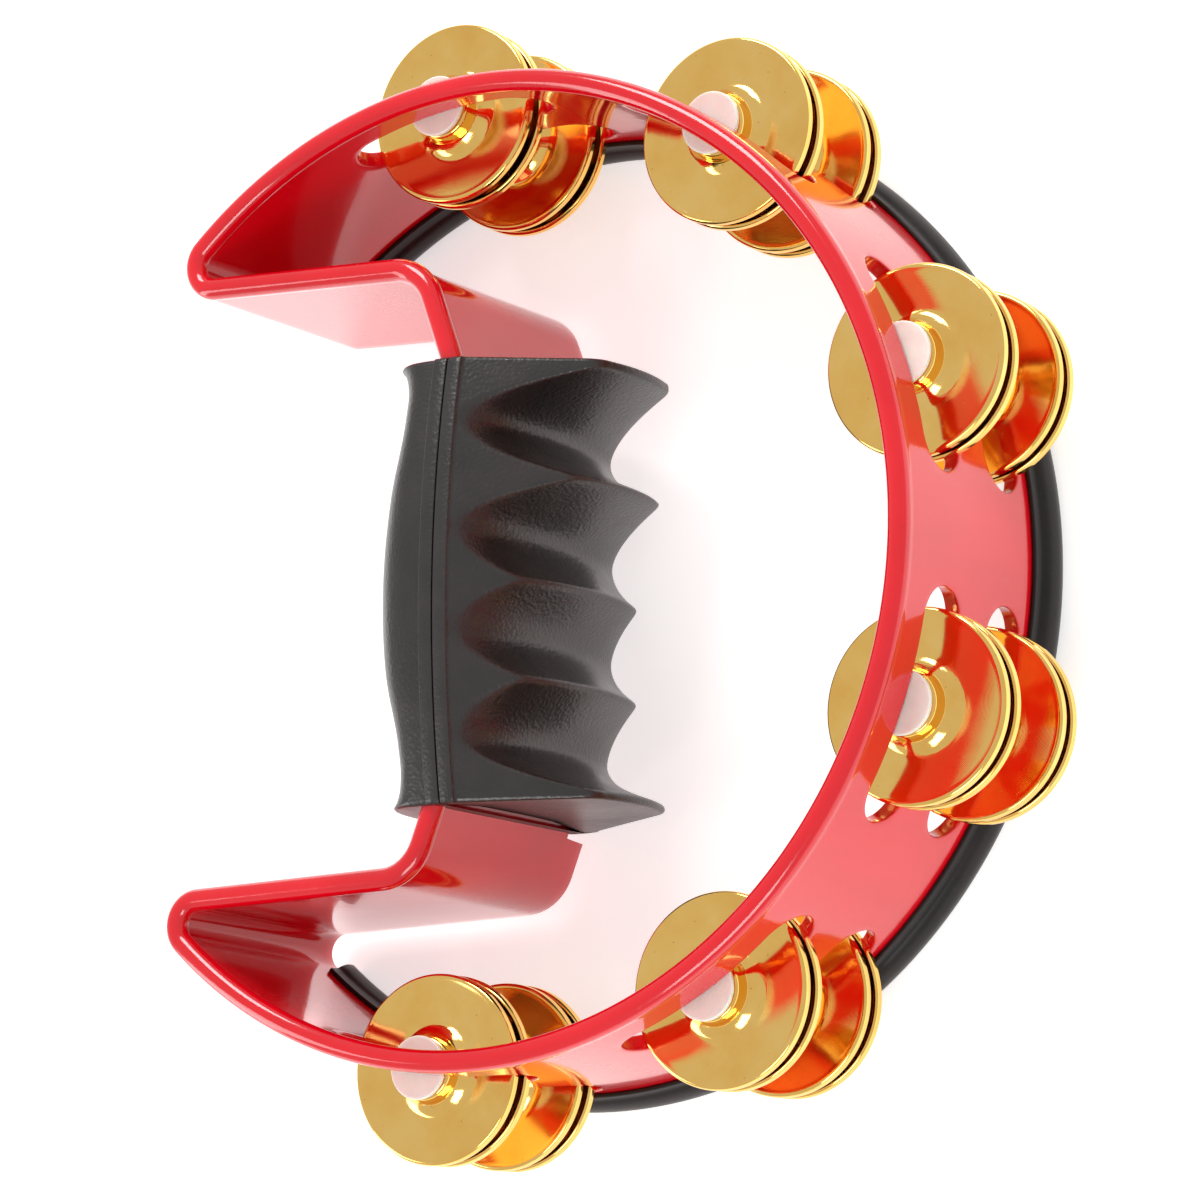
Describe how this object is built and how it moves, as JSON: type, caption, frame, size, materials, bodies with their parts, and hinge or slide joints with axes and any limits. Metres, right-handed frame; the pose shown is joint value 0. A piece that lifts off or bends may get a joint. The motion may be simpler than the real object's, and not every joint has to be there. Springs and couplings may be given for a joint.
{
  "type": "handheld tambourine",
  "caption": "Red crescent tambourine with pairs of brass jingles on steel pins, a rubber bumper round its back rim and a moulded black rubber hand grip.",
  "frame": {"origin": "the middle of the bounding box, in the plane that the rubber edge bumper rests on", "axes": "+Z along the jingle pins from the back rim to the front rim; +X from the hand grip towards the middle of the arc; +Y along the handle"},
  "size_m": [0.2337, 0.2992, 0.0845],
  "materials": {
    "red_plastic": "gloss",
    "bumper_rubber": "satin",
    "grip_rubber": "fine grained",
    "brass": "polished",
    "nylon": "satin",
    "pin_steel": "drawn wire"
  },
  "bodies": {
    "root": {"frame": "red_plastic", "edge_bumper": "bumper_rubber", "grip_palm_shell": "grip_rubber", "grip_finger_shell": "grip_rubber", "pin_1": "pin_steel", "pin_2": "pin_steel", "pin_3": "pin_steel", "pin_4": "pin_steel", "pin_5": "pin_steel", "pin_6": "pin_steel"},
    "bush_1_high_front": {"bush_1_high_front": "nylon"},
    "jingle_1_high_front": {"jingle_1_high_front": "brass"},
    "bush_1_high_back": {"bush_1_high_back": "nylon"},
    "jingle_1_high_back": {"jingle_1_high_back": "brass"},
    "bush_1_low_front": {"bush_1_low_front": "nylon"},
    "jingle_1_low_front": {"jingle_1_low_front": "brass"},
    "bush_1_low_back": {"bush_1_low_back": "nylon"},
    "jingle_1_low_back": {"jingle_1_low_back": "brass"},
    "bush_2_high_front": {"bush_2_high_front": "nylon"},
    "jingle_2_high_front": {"jingle_2_high_front": "brass"},
    "bush_2_high_back": {"bush_2_high_back": "nylon"},
    "jingle_2_high_back": {"jingle_2_high_back": "brass"},
    "bush_2_low_front": {"bush_2_low_front": "nylon"},
    "jingle_2_low_front": {"jingle_2_low_front": "brass"},
    "bush_2_low_back": {"bush_2_low_back": "nylon"},
    "jingle_2_low_back": {"jingle_2_low_back": "brass"},
    "bush_3_high_front": {"bush_3_high_front": "nylon"},
    "jingle_3_high_front": {"jingle_3_high_front": "brass"},
    "bush_3_high_back": {"bush_3_high_back": "nylon"},
    "jingle_3_high_back": {"jingle_3_high_back": "brass"},
    "bush_3_low_front": {"bush_3_low_front": "nylon"},
    "jingle_3_low_front": {"jingle_3_low_front": "brass"},
    "bush_3_low_back": {"bush_3_low_back": "nylon"},
    "jingle_3_low_back": {"jingle_3_low_back": "brass"},
    "bush_4_high_front": {"bush_4_high_front": "nylon"},
    "jingle_4_high_front": {"jingle_4_high_front": "brass"},
    "bush_4_high_back": {"bush_4_high_back": "nylon"},
    "jingle_4_high_back": {"jingle_4_high_back": "brass"},
    "bush_4_low_front": {"bush_4_low_front": "nylon"},
    "jingle_4_low_front": {"jingle_4_low_front": "brass"},
    "bush_4_low_back": {"bush_4_low_back": "nylon"},
    "jingle_4_low_back": {"jingle_4_low_back": "brass"},
    "bush_5_high_front": {"bush_5_high_front": "nylon"},
    "jingle_5_high_front": {"jingle_5_high_front": "brass"},
    "bush_5_high_back": {"bush_5_high_back": "nylon"},
    "jingle_5_high_back": {"jingle_5_high_back": "brass"},
    "bush_5_low_front": {"bush_5_low_front": "nylon"},
    "jingle_5_low_front": {"jingle_5_low_front": "brass"},
    "bush_5_low_back": {"bush_5_low_back": "nylon"},
    "jingle_5_low_back": {"jingle_5_low_back": "brass"},
    "bush_6_high_front": {"bush_6_high_front": "nylon"},
    "jingle_6_high_front": {"jingle_6_high_front": "brass"},
    "bush_6_high_back": {"bush_6_high_back": "nylon"},
    "jingle_6_high_back": {"jingle_6_high_back": "brass"},
    "bush_6_low_front": {"bush_6_low_front": "nylon"},
    "jingle_6_low_front": {"jingle_6_low_front": "brass"},
    "bush_6_low_back": {"bush_6_low_back": "nylon"},
    "jingle_6_low_back": {"jingle_6_low_back": "brass"}
  },
  "joints": [
    {"name": "play_1_high_front", "type": "slide", "parent": "root", "child": "bush_1_high_front", "axis": [0, 0, 1], "range_m": [-0.0003, 0.00025]},
    {"name": "spin_1_high_front", "type": "hinge", "parent": "bush_1_high_front", "child": "jingle_1_high_front", "pos_m": [-0.04421, -0.12532, 0.0546], "axis": [0, 0, 1], "continuous": true},
    {"name": "play_1_high_back", "type": "slide", "parent": "root", "child": "bush_1_high_back", "axis": [0, 0, 1], "range_m": [-0.0002, 0.00025]},
    {"name": "spin_1_high_back", "type": "hinge", "parent": "bush_1_high_back", "child": "jingle_1_high_back", "pos_m": [-0.04421, -0.12532, 0.0489], "axis": [0, 0, 1], "continuous": true},
    {"name": "play_1_low_front", "type": "slide", "parent": "root", "child": "bush_1_low_front", "axis": [0, 0, 1], "range_m": [-0.0003, 0.00025]},
    {"name": "spin_1_low_front", "type": "hinge", "parent": "bush_1_low_front", "child": "jingle_1_low_front", "pos_m": [-0.04421, -0.12532, 0.0241], "axis": [0, 0, 1], "continuous": true},
    {"name": "play_1_low_back", "type": "slide", "parent": "root", "child": "bush_1_low_back", "axis": [0, 0, 1], "range_m": [-0.0002, 0.00025]},
    {"name": "spin_1_low_back", "type": "hinge", "parent": "bush_1_low_back", "child": "jingle_1_low_back", "pos_m": [-0.04421, -0.12532, 0.0184], "axis": [0, 0, 1], "continuous": true},
    {"name": "play_2_high_front", "type": "slide", "parent": "root", "child": "bush_2_high_front", "axis": [0, 0, 1], "range_m": [-0.0003, 0.00025]},
    {"name": "spin_2_high_front", "type": "hinge", "parent": "bush_2_high_front", "child": "jingle_2_high_front", "pos_m": [0.03896, -0.10825, 0.0546], "axis": [0, 0, 1], "continuous": true},
    {"name": "play_2_high_back", "type": "slide", "parent": "root", "child": "bush_2_high_back", "axis": [0, 0, 1], "range_m": [-0.0002, 0.00025]},
    {"name": "spin_2_high_back", "type": "hinge", "parent": "bush_2_high_back", "child": "jingle_2_high_back", "pos_m": [0.03896, -0.10825, 0.0489], "axis": [0, 0, 1], "continuous": true},
    {"name": "play_2_low_front", "type": "slide", "parent": "root", "child": "bush_2_low_front", "axis": [0, 0, 1], "range_m": [-0.0003, 0.00025]},
    {"name": "spin_2_low_front", "type": "hinge", "parent": "bush_2_low_front", "child": "jingle_2_low_front", "pos_m": [0.03896, -0.10825, 0.0241], "axis": [0, 0, 1], "continuous": true},
    {"name": "play_2_low_back", "type": "slide", "parent": "root", "child": "bush_2_low_back", "axis": [0, 0, 1], "range_m": [-0.0002, 0.00025]},
    {"name": "spin_2_low_back", "type": "hinge", "parent": "bush_2_low_back", "child": "jingle_2_low_back", "pos_m": [0.03896, -0.10825, 0.0184], "axis": [0, 0, 1], "continuous": true},
    {"name": "play_3_high_front", "type": "slide", "parent": "root", "child": "bush_3_high_front", "axis": [0, 0, 1], "range_m": [-0.0003, 0.00025]},
    {"name": "spin_3_high_front", "type": "hinge", "parent": "bush_3_high_front", "child": "jingle_3_high_front", "pos_m": [0.09262, -0.04245, 0.0546], "axis": [0, 0, 1], "continuous": true},
    {"name": "play_3_high_back", "type": "slide", "parent": "root", "child": "bush_3_high_back", "axis": [0, 0, 1], "range_m": [-0.0002, 0.00025]},
    {"name": "spin_3_high_back", "type": "hinge", "parent": "bush_3_high_back", "child": "jingle_3_high_back", "pos_m": [0.09262, -0.04245, 0.0489], "axis": [0, 0, 1], "continuous": true},
    {"name": "play_3_low_front", "type": "slide", "parent": "root", "child": "bush_3_low_front", "axis": [0, 0, 1], "range_m": [-0.0003, 0.00025]},
    {"name": "spin_3_low_front", "type": "hinge", "parent": "bush_3_low_front", "child": "jingle_3_low_front", "pos_m": [0.09262, -0.04245, 0.0241], "axis": [0, 0, 1], "continuous": true},
    {"name": "play_3_low_back", "type": "slide", "parent": "root", "child": "bush_3_low_back", "axis": [0, 0, 1], "range_m": [-0.0002, 0.00025]},
    {"name": "spin_3_low_back", "type": "hinge", "parent": "bush_3_low_back", "child": "jingle_3_low_back", "pos_m": [0.09262, -0.04245, 0.0184], "axis": [0, 0, 1], "continuous": true},
    {"name": "play_4_high_front", "type": "slide", "parent": "root", "child": "bush_4_high_front", "axis": [0, 0, 1], "range_m": [-0.0003, 0.00025]},
    {"name": "spin_4_high_front", "type": "hinge", "parent": "bush_4_high_front", "child": "jingle_4_high_front", "pos_m": [0.09262, 0.04245, 0.0546], "axis": [0, 0, 1], "continuous": true},
    {"name": "play_4_high_back", "type": "slide", "parent": "root", "child": "bush_4_high_back", "axis": [0, 0, 1], "range_m": [-0.0002, 0.00025]},
    {"name": "spin_4_high_back", "type": "hinge", "parent": "bush_4_high_back", "child": "jingle_4_high_back", "pos_m": [0.09262, 0.04245, 0.0489], "axis": [0, 0, 1], "continuous": true},
    {"name": "play_4_low_front", "type": "slide", "parent": "root", "child": "bush_4_low_front", "axis": [0, 0, 1], "range_m": [-0.0003, 0.00025]},
    {"name": "spin_4_low_front", "type": "hinge", "parent": "bush_4_low_front", "child": "jingle_4_low_front", "pos_m": [0.09262, 0.04245, 0.0241], "axis": [0, 0, 1], "continuous": true},
    {"name": "play_4_low_back", "type": "slide", "parent": "root", "child": "bush_4_low_back", "axis": [0, 0, 1], "range_m": [-0.0002, 0.00025]},
    {"name": "spin_4_low_back", "type": "hinge", "parent": "bush_4_low_back", "child": "jingle_4_low_back", "pos_m": [0.09262, 0.04245, 0.0184], "axis": [0, 0, 1], "continuous": true},
    {"name": "play_5_high_front", "type": "slide", "parent": "root", "child": "bush_5_high_front", "axis": [0, 0, 1], "range_m": [-0.0003, 0.00025]},
    {"name": "spin_5_high_front", "type": "hinge", "parent": "bush_5_high_front", "child": "jingle_5_high_front", "pos_m": [0.03896, 0.10825, 0.0546], "axis": [0, 0, 1], "continuous": true},
    {"name": "play_5_high_back", "type": "slide", "parent": "root", "child": "bush_5_high_back", "axis": [0, 0, 1], "range_m": [-0.0002, 0.00025]},
    {"name": "spin_5_high_back", "type": "hinge", "parent": "bush_5_high_back", "child": "jingle_5_high_back", "pos_m": [0.03896, 0.10825, 0.0489], "axis": [0, 0, 1], "continuous": true},
    {"name": "play_5_low_front", "type": "slide", "parent": "root", "child": "bush_5_low_front", "axis": [0, 0, 1], "range_m": [-0.0003, 0.00025]},
    {"name": "spin_5_low_front", "type": "hinge", "parent": "bush_5_low_front", "child": "jingle_5_low_front", "pos_m": [0.03896, 0.10825, 0.0241], "axis": [0, 0, 1], "continuous": true},
    {"name": "play_5_low_back", "type": "slide", "parent": "root", "child": "bush_5_low_back", "axis": [0, 0, 1], "range_m": [-0.0002, 0.00025]},
    {"name": "spin_5_low_back", "type": "hinge", "parent": "bush_5_low_back", "child": "jingle_5_low_back", "pos_m": [0.03896, 0.10825, 0.0184], "axis": [0, 0, 1], "continuous": true},
    {"name": "play_6_high_front", "type": "slide", "parent": "root", "child": "bush_6_high_front", "axis": [0, 0, 1], "range_m": [-0.0003, 0.00025]},
    {"name": "spin_6_high_front", "type": "hinge", "parent": "bush_6_high_front", "child": "jingle_6_high_front", "pos_m": [-0.04421, 0.12532, 0.0546], "axis": [0, 0, 1], "continuous": true},
    {"name": "play_6_high_back", "type": "slide", "parent": "root", "child": "bush_6_high_back", "axis": [0, 0, 1], "range_m": [-0.0002, 0.00025]},
    {"name": "spin_6_high_back", "type": "hinge", "parent": "bush_6_high_back", "child": "jingle_6_high_back", "pos_m": [-0.04421, 0.12532, 0.0489], "axis": [0, 0, 1], "continuous": true},
    {"name": "play_6_low_front", "type": "slide", "parent": "root", "child": "bush_6_low_front", "axis": [0, 0, 1], "range_m": [-0.0003, 0.00025]},
    {"name": "spin_6_low_front", "type": "hinge", "parent": "bush_6_low_front", "child": "jingle_6_low_front", "pos_m": [-0.04421, 0.12532, 0.0241], "axis": [0, 0, 1], "continuous": true},
    {"name": "play_6_low_back", "type": "slide", "parent": "root", "child": "bush_6_low_back", "axis": [0, 0, 1], "range_m": [-0.0002, 0.00025]},
    {"name": "spin_6_low_back", "type": "hinge", "parent": "bush_6_low_back", "child": "jingle_6_low_back", "pos_m": [-0.04421, 0.12532, 0.0184], "axis": [0, 0, 1], "continuous": true}
  ]
}
